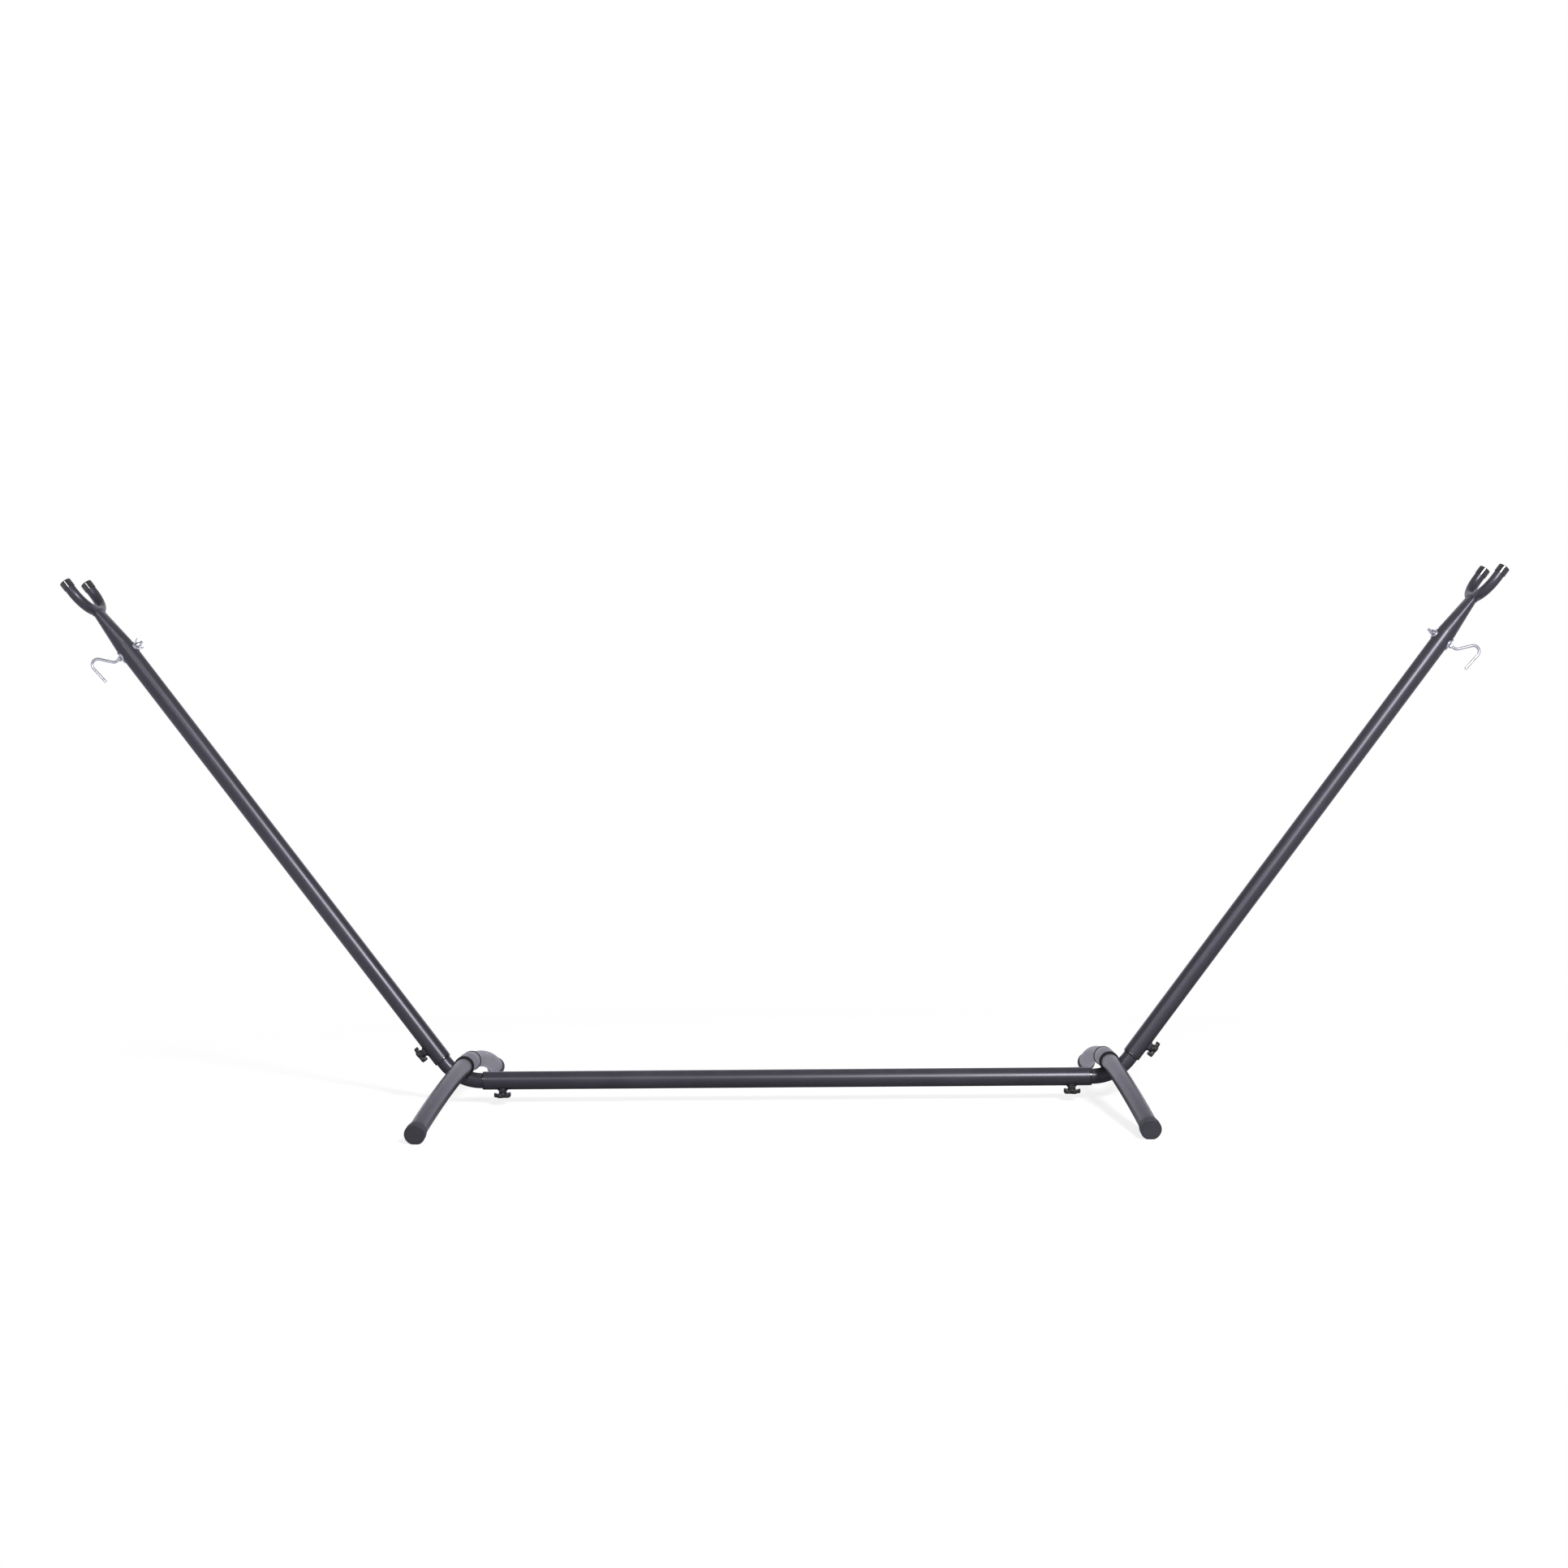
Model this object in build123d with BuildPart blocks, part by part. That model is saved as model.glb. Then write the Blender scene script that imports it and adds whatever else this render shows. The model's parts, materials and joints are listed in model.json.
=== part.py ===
from build123d import *
from math import atan2, cos, radians, sin, tan
import os

# Knock-down hammock stand of round steel tube. Millimetres, +Z up, +X along the base bar.
# The origin is on the floor, midway between the two feet.

# Main tubes: the base bar and the two uprights
tube_diameter = 38.0
tube_wall = 1.5
bar_length = 1268.0
bar_height = 52.5            # bar axis above the floor
upright_lean = 37.2          # from the vertical
upright_length = 1192.2      # from the lower mouth to the axis of the fork's bottom
bar_mouth_offset = 55.5      # from the crossing of bar axis and upright axis to the bar's mouth
upright_mouth_offset = 59.3  # from that crossing to the upright's mouth

# Elbows that join bar, foot and upright
elbow_diameter = 32.0
elbow_wall = 1.5
elbow_bend_radius = 98.0
spigot_depth = 110.0         # held inside the bar or the upright

# Reducing bushes in the mouths of bar and uprights
bush_skirt = 24.0
bush_flange = 5.0
bush_chamfer = 1.6
running_fit = 0.05           # radial play of a spigot in its bush

# Cross sleeves on the elbows
sleeve_diameter = 40.0
sleeve_wall = 1.5
sleeve_slope = 3.6           # fall of each half of the sleeve
sleeve_bend_radius = 150.0
socket_length = 34.0         # straight stretch at each end
seat_depth = 4.0             # how far the sleeve is notched over the elbow
weld_leg = 2.2

# Legs, their collars and their caps
leg_diameter = 35.0
leg_wall = 1.5
leg_insertion = 30.0
foot_width = 1000.0          # over the end caps
foot_spacing = 1377.0        # between the end caps of the two feet
leg_end_height = 18.0        # leg axis above the floor at the face of its cap
collar_skirt = 22.0
collar_flange = 5.0
collar_diameter = 42.0       # of the flange
collar_round = 0.8
leg_fit = 0.05               # radial play of a leg in its collar
cap_diameter = 40.4
cap_mouth_diameter = 38.0
cap_length = 23.0
cap_flare = 9.0              # length of the flared stretch behind the mouth
cap_end = 3.0                # thickness of the closed end
cap_round = 2.0
cap_disc_diameter = 33.0
cap_disc_height = 0.8
cap_fit = 0.1                # radial play of a cap on its tube, which its end wall stops

# Flattened top of the uprights
pinch_length = 92.0
pinch_thickness = 20.0
pinch_width = 48.0

# Forks and their caps
fork_diameter = 22.0
fork_wall = 1.5
fork_spread = 103.0          # between the two prong axes
fork_bend_radius = 49.5
fork_height = 76.0           # from the axis of the fork's bottom to the cap faces
fork_turn = 6.0              # about the upright's axis, with the back prong nearer the middle
fork_cap_diameter = 24.6
fork_cap_length = 17.0
fork_cap_end = 2.0
fork_cap_round = 1.4

# Clamp knobs
bar_knob_inset = 36.5        # from the bar's mouth
upright_knob_inset = 32.7    # from the upright's mouth
stud_diameter = 8.0
thread_fit = 0.1             # radial play of a stud or bolt in its nut
stud_hole_play = 0.4         # radial play of a stud in the tube's wall
tip_gap = 0.3                # between the stud's tip and the spigot
weld_nut_width = 16.0        # across the flats
weld_nut_height = 3.4        # above the tube
knob_gap = 0.8               # between weld nut and hub
hub_diameter = 17.0
hub_height = 2.8
head_diameter = 37.0
head_height = 9.2
lobe_count = 5
lobe_diameter = 11.0
head_dish = 2.6              # depth of the groove that leaves the lobe tips raised
head_round = 1.6
stud_engagement = 10.0       # length of stud inside the knob
knob_fit = 0.05              # radial play of the knob on its stud

# Hooks
hook_drop = 109.5            # from the axis of the fork's bottom down to the hook bolt
wire_diameter = 6.0
hook_root = 13.5             # straight stretch outside the tube
root_bend_radius = 10.0
rise_angle = 50.0
hook_run = 30.0
hook_bend_radius = 12.0
hook_turn = 145.0
hook_leg = 39.0
bolt_end = 17.0              # beyond the tube on the wing nut's side
wire_chamfer = 0.8
bolt_hole_play = 0.4         # radial play of the hook bolt in tube and washers

# Saddle washers, hook nut and wing nut
outer_saddle_diameter = 28.0
inner_saddle_diameter = 22.0
saddle_thickness = 2.5
seat_gap = 0.3               # between pieces that turn or slide on one another
hook_nut_width = 10.0
hook_nut_height = 5.0
wing_hub_diameter = 12.0
wing_hub_top_diameter = 9.0
wing_hub_height = 7.5
wing_span = 25.0
wing_rise = 4.0              # of the wing tips above the hub
wing_tip_diameter = 7.0
wing_thickness = 2.6
left_wing_turn = 0.0         # wings along the upright
right_wing_turn = 90.0       # wings across the upright

os.makedirs("parts", exist_ok=True)

tube_radius = tube_diameter / 2
elbow_radius = elbow_diameter / 2
sleeve_radius = sleeve_diameter / 2
leg_radius = leg_diameter / 2
fork_radius = fork_diameter / 2
stud_radius = stud_diameter / 2
wire_radius = wire_diameter / 2
lean = radians(upright_lean)
along = Vector(sin(lean), 0, cos(lean))
outward = Vector(cos(lean), 0, -sin(lean))
crossing = Vector(bar_length / 2 + bar_mouth_offset, 0, bar_height)


def upright_point(distance):
    """A point of the right upright's axis, at a distance from its lower mouth."""
    return crossing + along * (upright_mouth_offset + distance)


def upright_plane(distance):
    """The plane across the right upright, with its X outwards and its Y to the back."""
    return Plane(origin=upright_point(distance), x_dir=outward, z_dir=along)


def ring(plane, outer_radius, inner_radius):
    """A ring-shaped sketch on a plane."""
    with BuildSketch(plane) as section:
        Circle(outer_radius)
        Circle(inner_radius, mode=Mode.SUBTRACT)
    return section.sketch


def save(piece, name):
    """Writes one piece as its own node."""
    piece.part.label = name
    export_step(piece.part, f"parts/{name}.step")


def save_both_sides(piece, name):
    """Writes a right-hand piece and its mirror image on the left."""
    with BuildPart() as mirrored:
        mirror(piece.part, about=Plane.YZ)
    save(piece, f"right_{name}")
    save(mirrored, f"left_{name}")


def save_front_and_back(piece, name):
    """Writes a piece of the back half of the right foot and its three mirror images."""
    with BuildPart() as front:
        mirror(piece.part, about=Plane.XZ)
    save_both_sides(piece, f"back_{name}")
    save_both_sides(front, f"front_{name}")


# Base bar: a straight tube, drilled through both walls near each end for a stud
bar_plane = Plane(origin=(-bar_length / 2, 0, bar_height), z_dir=(1, 0, 0))
bar_knob_x = bar_length / 2 - bar_knob_inset
with BuildPart() as base_bar:
    extrude(ring(bar_plane, tube_radius, tube_radius - tube_wall), amount=bar_length)
    with Locations((-bar_knob_x, 0, bar_height), (bar_knob_x, 0, bar_height)):
        Hole(stud_radius + stud_hole_play, depth=tube_diameter)
save(base_bar, "base_bar")


# Elbow: one spigot for the bar, a bend under the cross sleeve, one spigot for the upright
bend_angle = 90 - upright_lean
bend_tangent = elbow_bend_radius * tan(radians(bend_angle / 2))
with BuildLine(Plane.XZ) as elbow_path:
    bar_spigot = Line(
        (bar_length / 2 - spigot_depth, bar_height),
        (crossing.X - bend_tangent, bar_height),
    )
    bend = JernArc(bar_spigot @ 1, bar_spigot % 1, elbow_bend_radius, bend_angle)
    Line(bend @ 1, upright_point(spigot_depth))
elbow_start = Plane(origin=elbow_path.line @ 0, z_dir=elbow_path.line % 0)
with BuildPart() as elbow:
    sweep(ring(elbow_start, elbow_radius, elbow_radius - elbow_wall), path=elbow_path.line)
save_both_sides(elbow, "elbow")


# Cross sleeve: a short bent tube, notched over the inside of the elbow's bend
bend_middle = bend @ 0.5
seat_direction = Vector(-sin(radians(bend_angle / 2)), 0, cos(radians(bend_angle / 2)))
seat_distance = elbow_radius + sleeve_radius - seat_depth
apex = bend_middle + seat_direction * seat_distance
foot_x = foot_spacing / 2
foot_tilt = atan2(foot_x - apex.X, apex.Z - leg_end_height)
foot_plane = Plane(
    origin=apex, x_dir=(0, 1, 0), z_dir=(cos(foot_tilt), 0, sin(foot_tilt))
)
slope = radians(sleeve_slope)
bend_reach = sleeve_bend_radius * sin(slope)
bend_fall = sleeve_bend_radius * (1 - cos(slope))
mouth_reach = bend_reach + socket_length * cos(slope)
mouth_fall = bend_fall + socket_length * sin(slope)
with BuildLine(foot_plane) as sleeve_path:
    front_socket = Line((-mouth_reach, -mouth_fall), (-bend_reach, -bend_fall))
    crown = JernArc(front_socket @ 1, front_socket % 1, sleeve_bend_radius, -2 * sleeve_slope)
    Line(crown @ 1, crown @ 1 + (crown % 1) * socket_length)
sleeve_start = Plane(origin=sleeve_path.line @ 0, z_dir=sleeve_path.line % 0)
with BuildPart() as foot_sleeve:
    sweep(ring(sleeve_start, sleeve_radius, sleeve_radius - sleeve_wall), path=sleeve_path.line)
    with BuildSketch(elbow_start):
        Circle(elbow_radius)
    sweep(path=elbow_path.line, mode=Mode.SUBTRACT)
save_both_sides(foot_sleeve, "foot_sleeve")


# Weld round the notch: the band where a skin on the elbow meets a skin on the sleeve
elbow_skin = ring(elbow_start, elbow_radius + weld_leg, elbow_radius)
sleeve_skin = ring(sleeve_start, sleeve_radius + weld_leg, sleeve_radius)
with BuildPart() as foot_weld:
    sweep(elbow_skin, path=elbow_path.line)
    sweep(sleeve_skin, path=sleeve_path.line, mode=Mode.INTERSECT)
save_both_sides(foot_weld, "foot_weld")


# Leg: straight in its socket, then one long arc down to the floor
socket_mouth = sleeve_path.line @ 1
socket_axis = sleeve_path.line % 1
end_fall = (apex.Z - leg_end_height) / cos(foot_tilt)
leg_face = foot_plane.from_local_coords((foot_width / 2, -end_fall))
with BuildLine(foot_plane) as leg_line:
    Line(socket_mouth - socket_axis * leg_insertion, socket_mouth)
    leg_arc = TangentArc(socket_mouth, leg_face, tangent=socket_axis)
leg_end_axis = leg_arc % 1
leg_start = Plane(origin=leg_line.line @ 0, z_dir=leg_line.line % 0)
leg_stop = Plane(origin=leg_face - leg_end_axis * cap_end, z_dir=leg_end_axis)
with BuildPart() as leg:
    sweep(ring(leg_start, leg_radius, leg_radius - leg_wall), path=leg_line.line)
    split(bisect_by=leg_stop, keep=Keep.BOTTOM)
save_front_and_back(leg, "leg")


# Collar bush: a skirt in the sleeve's mouth and a flange in front of it
mouth_plane = Plane(origin=socket_mouth, z_dir=socket_axis)
with BuildPart() as collar:
    extrude(ring(mouth_plane, sleeve_radius - sleeve_wall, leg_radius + leg_fit), amount=-collar_skirt)
    extrude(ring(mouth_plane, collar_diameter / 2, leg_radius + leg_fit), amount=collar_flange)
    flange_rims = collar.edges().filter_by(GeomType.CIRCLE).group_by(Axis(socket_mouth, socket_axis))[-1]
    fillet(flange_rims.sort_by(SortBy.RADIUS)[-1], collar_round)
save_front_and_back(collar, "collar")


# Leg cap: a flared cup with a raised disc on its end and a flat that stands on the floor
cap_bore = leg_radius + cap_fit
cap_plane = Plane(
    origin=leg_face, x_dir=leg_end_axis.cross(foot_plane.z_dir), z_dir=foot_plane.z_dir
)
with BuildPart() as leg_cap:
    with BuildSketch(cap_plane):
        with BuildLine():
            Polyline(
                (cap_bore, -cap_end),
                (cap_bore, -cap_length),
                (cap_mouth_diameter / 2, -cap_length),
                (cap_diameter / 2, cap_flare - cap_length),
                (cap_diameter / 2, 0),
                (cap_disc_diameter / 2, 0),
                (cap_disc_diameter / 2, cap_disc_height),
                (0, cap_disc_height),
                (0, -cap_end),
                (cap_bore, -cap_end),
            )
        make_face()
    revolve(axis=Axis(leg_face, leg_end_axis))
    face_rims = leg_cap.edges().filter_by(GeomType.CIRCLE).group_by(Axis(leg_face, leg_end_axis))[-2]
    fillet(face_rims.sort_by(SortBy.RADIUS)[-1], cap_round)
    split(bisect_by=Plane.XY, keep=Keep.TOP)
save_front_and_back(leg_cap, "leg_cap")


# Reducing bush in a tube's mouth, on a plane whose Z points out of the mouth
def reducing_bush(plane):
    bore = elbow_radius + running_fit
    with BuildPart() as bush:
        extrude(ring(plane, tube_radius - tube_wall, bore), amount=-bush_skirt)
        extrude(ring(plane, tube_radius, bore), amount=bush_flange)
        rims = bush.edges().filter_by(GeomType.CIRCLE).group_by(Axis(plane.origin, plane.z_dir))[-1]
        chamfer(rims.sort_by(SortBy.RADIUS)[-1], bush_chamfer)
    return bush


save_both_sides(reducing_bush(Plane(origin=(bar_length / 2, 0, bar_height), z_dir=(1, 0, 0))), "bar_bush")
save_both_sides(reducing_bush(Plane(origin=upright_point(0), z_dir=-along)), "upright_bush")


# Clamp knob on a plane on the tube's surface, whose Z points away from the tube
stud_tip = elbow_radius - tube_radius + tip_gap
hub_foot = weld_nut_height + knob_gap
head_foot = hub_foot + hub_height
head_top = head_foot + head_height


def weld_nut(plane, tube_plane):
    """A hex nut, hollowed underneath to the tube's curve."""
    with BuildPart() as nut:
        with BuildSketch(plane.offset(-tube_radius / 2)):
            RegularPolygon(weld_nut_width / 2, 6, major_radius=False)
            Circle(stud_radius + thread_fit, mode=Mode.SUBTRACT)
        extrude(amount=tube_radius / 2 + weld_nut_height)
        with BuildSketch(tube_plane):
            Circle(tube_radius)
        extrude(amount=tube_diameter, both=True, mode=Mode.SUBTRACT)
    return nut


def knob_stud(plane):
    """The plain round stud, from just clear of the spigot up into the knob."""
    with BuildPart() as stud:
        with BuildSketch(plane.offset(stud_tip)):
            Circle(stud_radius)
        extrude(amount=hub_foot + stud_engagement - stud_tip)
        chamfer(stud.edges().sort_by(Axis(plane.origin, plane.z_dir))[0], wire_chamfer)
    return stud


def star_knob(plane):
    """A lobed head on a hub, dished towards the tube so that the lobe tips stand up."""
    lobe_circle = (head_diameter - lobe_diameter) / 2
    with BuildPart() as knob:
        with BuildSketch(plane.offset(head_foot)):
            Circle(lobe_circle)
            with PolarLocations(lobe_circle, lobe_count):
                Circle(lobe_diameter / 2)
        extrude(amount=head_height)
        with BuildSketch(plane.offset(head_foot)):
            Circle(lobe_circle)
        extrude(amount=head_dish, mode=Mode.SUBTRACT)
        fillet(knob.faces().sort_by(Axis(plane.origin, plane.z_dir))[-1].edges(), head_round)
        with BuildSketch(plane.offset(hub_foot)):
            Circle(hub_diameter / 2)
        extrude(amount=hub_height + head_dish)
        with BuildSketch(plane.offset(hub_foot)):
            Circle(stud_radius + knob_fit)
        extrude(amount=stud_engagement + seat_gap, mode=Mode.SUBTRACT)
    return knob


bar_knob_plane = Plane(
    origin=(bar_knob_x, 0, bar_height - tube_radius), x_dir=(1, 0, 0), z_dir=(0, 0, -1)
)
upright_knob_plane = Plane(
    origin=upright_point(upright_knob_inset) + outward * tube_radius, x_dir=along, z_dir=outward
)
for tube, knob_plane, tube_plane in (
    ("bar", bar_knob_plane, bar_plane.offset(bar_length / 2 + bar_knob_x)),
    ("upright", upright_knob_plane, upright_plane(upright_knob_inset)),
):
    save_both_sides(weld_nut(knob_plane, tube_plane), f"{tube}_weld_nut")
    save_both_sides(knob_stud(knob_plane), f"{tube}_knob_stud")
    save_both_sides(star_knob(knob_plane), f"{tube}_knob")


# Fork: a U of tube across the top of the upright, turned a little about it
fork_bottom = upright_point(upright_length)
prong_reach = fork_spread / 2
fork_across = Vector(0, 1, 0).rotate(Axis((0, 0, 0), along), fork_turn)
fork_plane = Plane(origin=fork_bottom, x_dir=fork_across, z_dir=fork_across.cross(along))
prong_end = fork_height - fork_cap_end
flat_reach = prong_reach - fork_bend_radius
with BuildLine(fork_plane) as fork_path:
    front_prong = Line((-prong_reach, prong_end), (-prong_reach, fork_bend_radius))
    JernArc(front_prong @ 1, front_prong % 1, fork_bend_radius, 90)
    fork_flat = Line((-flat_reach, 0), (flat_reach, 0))
    JernArc(fork_flat @ 1, fork_flat % 1, fork_bend_radius, 90)
    Line((prong_reach, fork_bend_radius), (prong_reach, prong_end))
fork_start = Plane(origin=fork_path.line @ 0, z_dir=fork_path.line % 0)
with BuildPart() as fork:
    sweep(ring(fork_start, fork_radius, fork_radius - fork_wall), path=fork_path.line)
save_both_sides(fork, "fork")


# Fork caps: a cup pushed over each prong
for place, prong_face in (("front", fork_path.line @ 0), ("back", fork_path.line @ 1)):
    prong_plane = Plane(origin=prong_face, z_dir=along)
    with BuildPart() as fork_cap:
        with BuildSketch(prong_plane):
            Circle(fork_cap_diameter / 2)
        extrude(amount=fork_cap_end)
        skirt_ring = ring(prong_plane, fork_cap_diameter / 2, fork_radius + cap_fit)
        extrude(skirt_ring, amount=fork_cap_end - fork_cap_length)
        cap_rims = fork_cap.edges().filter_by(GeomType.CIRCLE).sort_by(Axis(fork_bottom, along))
        fillet(cap_rims[-1], fork_cap_round)
    save_both_sides(fork_cap, f"{place}_fork_cap")


# Upright: a straight tube, flattened to an oval at its top and coped to the fork
pinch_start = upright_length - pinch_length
bolt_position = upright_length - hook_drop
with BuildPart() as upright:
    extrude(ring(upright_plane(0), tube_radius, tube_radius - tube_wall), amount=pinch_start)
    for wall, mode in ((0, Mode.ADD), (tube_wall, Mode.SUBTRACT)):
        with BuildSketch(upright_plane(pinch_start)):
            Circle(tube_radius - wall)
        with BuildSketch(upright_plane(upright_length)):
            Ellipse(pinch_thickness / 2 - wall, pinch_width / 2 - wall)
        loft(mode=mode)
    with BuildSketch(fork_start):
        Circle(fork_radius)
    sweep(path=fork_path.line, mode=Mode.SUBTRACT)
    with BuildSketch(upright_knob_plane):
        Circle(stud_radius + stud_hole_play)
    extrude(amount=-tube_radius, mode=Mode.SUBTRACT)
    with BuildSketch(Plane(origin=upright_point(bolt_position), z_dir=outward)):
        Circle(wire_radius + bolt_hole_play)
    extrude(amount=tube_diameter, both=True, mode=Mode.SUBTRACT)
save_both_sides(upright, "upright")


# Hook: one bent wire, from its bolt end inside the stand to its free leg outside
bolt_point = upright_point(bolt_position)
hook_plane = Plane(origin=bolt_point, x_dir=outward, z_dir=(0, -1, 0))
with BuildLine(hook_plane) as hook_path:
    shank = Line((-tube_radius - bolt_end, 0), (tube_radius + hook_root, 0))
    root_bend = JernArc(shank @ 1, shank % 1, root_bend_radius, rise_angle)
    run = Line(root_bend @ 1, root_bend @ 1 + (root_bend % 1) * hook_run)
    hook_bend = JernArc(run @ 1, run % 1, hook_bend_radius, -hook_turn)
    Line(hook_bend @ 1, hook_bend @ 1 + (hook_bend % 1) * hook_leg)
with BuildPart() as hook:
    with BuildSketch(Plane(origin=hook_path.line @ 0, z_dir=hook_path.line % 0)):
        Circle(wire_radius)
    sweep(path=hook_path.line)
    chamfer(hook.faces().filter_by(GeomType.PLANE).edges(), wire_chamfer)
save_both_sides(hook, "hook")


# Saddle washers: discs curved to the tube, the outer one on it and the inner one just clear of it
def saddle_washer(side_direction, diameter, gap):
    inner_radius = tube_radius + gap
    washer_plane = Plane(origin=bolt_point, x_dir=along, z_dir=side_direction)
    curve = ring(upright_plane(bolt_position), inner_radius + saddle_thickness, inner_radius)
    with BuildPart() as saddle:
        extrude(ring(washer_plane, diameter / 2, wire_radius + bolt_hole_play), amount=tube_diameter)
        extrude(curve, amount=diameter, both=True, mode=Mode.INTERSECT)
    return saddle


save_both_sides(saddle_washer(outward, outer_saddle_diameter, 0), "outer_saddle")
save_both_sides(saddle_washer(-outward, inner_saddle_diameter, seat_gap), "inner_saddle")


# Hook nut on the outer saddle washer
hook_nut_foot = tube_radius + saddle_thickness + seat_gap
with BuildPart() as hook_nut:
    with BuildSketch(Plane(origin=bolt_point + outward * hook_nut_foot, x_dir=along, z_dir=outward)):
        RegularPolygon(hook_nut_width / 2, 6, major_radius=False)
        Circle(wire_radius, mode=Mode.SUBTRACT)
    extrude(amount=hook_nut_height)
save_both_sides(hook_nut, "hook_nut")


# Wing nut on the inner saddle washer: a tapered hub with two rounded wings
wing_foot = tube_radius + seat_gap + saddle_thickness + seat_gap
tip_reach = (wing_span - wing_tip_diameter) / 2
tip_height = wing_hub_height + wing_rise - wing_tip_diameter / 2


def wing_nut(turn):
    wing_direction = along.rotate(Axis(bolt_point, outward), turn)
    foot_point = bolt_point - outward * wing_foot
    wing_plane = Plane(
        origin=foot_point, x_dir=wing_direction, z_dir=wing_direction.cross(-outward)
    )
    hub_plane = Plane(origin=foot_point, x_dir=wing_direction, z_dir=-outward)
    with BuildPart() as nut:
        with BuildSketch(wing_plane):
            with BuildLine():
                Polyline(
                    (0, 0),
                    (wing_hub_diameter / 2, 0),
                    (wing_hub_top_diameter / 2, wing_hub_height),
                    (0, wing_hub_height),
                    (0, 0),
                )
            make_face()
        revolve(axis=Axis(foot_point, -outward))
        with BuildSketch(wing_plane):
            for side in (-1, 1):
                with BuildLine():
                    Polyline(
                        (0, 0),
                        (side * wing_hub_diameter / 2, 0),
                        (side * (tip_reach + wing_tip_diameter / 2), tip_height),
                        (side * (tip_reach - wing_tip_diameter / 2), tip_height),
                        (0, wing_hub_height / 2),
                        (0, 0),
                    )
                make_face()
                with Locations((side * tip_reach, tip_height)):
                    Circle(wing_tip_diameter / 2)
        extrude(amount=wing_thickness / 2, both=True)
        with BuildSketch(hub_plane):
            Circle(wire_radius + thread_fit)
        extrude(amount=wing_span, mode=Mode.SUBTRACT)
    return nut


save(wing_nut(right_wing_turn), "right_wing_nut")
with BuildPart() as left_nut:
    mirror(wing_nut(left_wing_turn).part, about=Plane.YZ)
save(left_nut, "left_wing_nut")
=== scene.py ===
"""Looks of a knock-down hammock stand of black powder-coated steel tube.

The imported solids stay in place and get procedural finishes. Small pieces whose real form is finer than their
solid (threaded hooks and studs, star knobs, wing nuts, hook nuts, rounded bushes) are rebuilt as surfaces of
two parameters. Weld beads are laid where tubes are joined, and two rounds of tube wall close the holes in the
bar's top. Metres, +Z up, +X along the base bar.
"""

import json

import bpy
import numpy as np
from mathutils import Matrix, Vector


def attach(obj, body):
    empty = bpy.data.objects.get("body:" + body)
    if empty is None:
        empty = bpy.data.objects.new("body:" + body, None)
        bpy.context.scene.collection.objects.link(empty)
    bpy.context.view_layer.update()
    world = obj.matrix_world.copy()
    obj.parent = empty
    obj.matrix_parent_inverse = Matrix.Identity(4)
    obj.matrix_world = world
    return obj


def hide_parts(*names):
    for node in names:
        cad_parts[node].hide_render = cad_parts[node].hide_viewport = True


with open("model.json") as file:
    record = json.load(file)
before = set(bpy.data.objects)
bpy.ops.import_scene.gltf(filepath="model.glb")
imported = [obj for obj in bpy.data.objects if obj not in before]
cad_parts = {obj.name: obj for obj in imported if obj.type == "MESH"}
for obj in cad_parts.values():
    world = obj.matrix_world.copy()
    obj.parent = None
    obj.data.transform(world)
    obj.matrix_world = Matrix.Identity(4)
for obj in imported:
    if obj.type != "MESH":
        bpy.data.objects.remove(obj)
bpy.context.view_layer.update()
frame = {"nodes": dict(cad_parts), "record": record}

# Places and sizes of the stand, the same as in its solids
LEAN = np.radians(37.2)            # uprights, from the vertical
BAR_LENGTH = 1.268
BAR_HEIGHT = 0.0525
BAR_MOUTH_OFFSET = 0.0555          # from the crossing of bar and upright axes to the bar's mouth
UPRIGHT_MOUTH_OFFSET = 0.0593      # from that crossing to the upright's mouth
UPRIGHT_LENGTH = 1.1922
TUBE_RADIUS = 0.019
TUBE_WALL = 0.0015
BUSH_BORE = 0.01605
BUSH_SKIRT = 0.024
BUSH_FLANGE = 0.005
ELBOW_RADIUS = 0.016
ELBOW_BEND = 0.098
SLEEVE_RADIUS = 0.020
SLEEVE_BEND = 0.150
SEAT_DEPTH = 0.004                 # how far the sleeve is notched over the elbow
PINCH_LENGTH = 0.092
PINCH_HALF_THICKNESS = 0.010
PINCH_HALF_WIDTH = 0.024
FORK_RADIUS = 0.011
FORK_BEND = 0.0495
FORK_FLAT = 0.002                  # half of the straight stretch at the fork's bottom
FORK_TURN = np.radians(6.0)        # about the upright, with the back prong nearer the middle
BAR_KNOB_INSET = 0.0365            # from the bar's mouth
UPRIGHT_KNOB_INSET = 0.0327        # from the upright's mouth
HOOK_DROP = 0.1095                 # from the axis of the fork's bottom down to the hook's bolt

# Threads, as shares of the pitch
THREAD_DEPTH = 0.61
THREAD_CREST = 0.12
THREAD_FLANK = 0.66

# Clamp knobs, measured from the tube's surface outwards
STUD_RADIUS = 0.004
STUD_CHAMFER = 0.0009
STUD_START = -0.0027
STUD_END = 0.0142
STUD_PITCH = 0.00125
HUB_RADIUS = 0.0085
HUB_FOOT = 0.0042
HEAD_FOOT = 0.0070
HEAD_TOP = 0.0162
HEAD_DISH = 0.0026                 # depth by which the lobes hang down
HEAD_EDGE = 0.0013                 # rounds of the head's lower and upper edge
HEAD_TOP_EDGE = 0.0022
HUB_FILLET = 0.0014                # between hub and head
RIM_TIP = 0.0185
RIM_ROOT = 0.0132
LOBES = 5
KNOB_BORE = 0.00405
BORE_END = 0.0145
WELD_NUT_APOTHEM = 0.008
STUD_HOLE_RADIUS = 0.0044          # in the bar's wall

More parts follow.
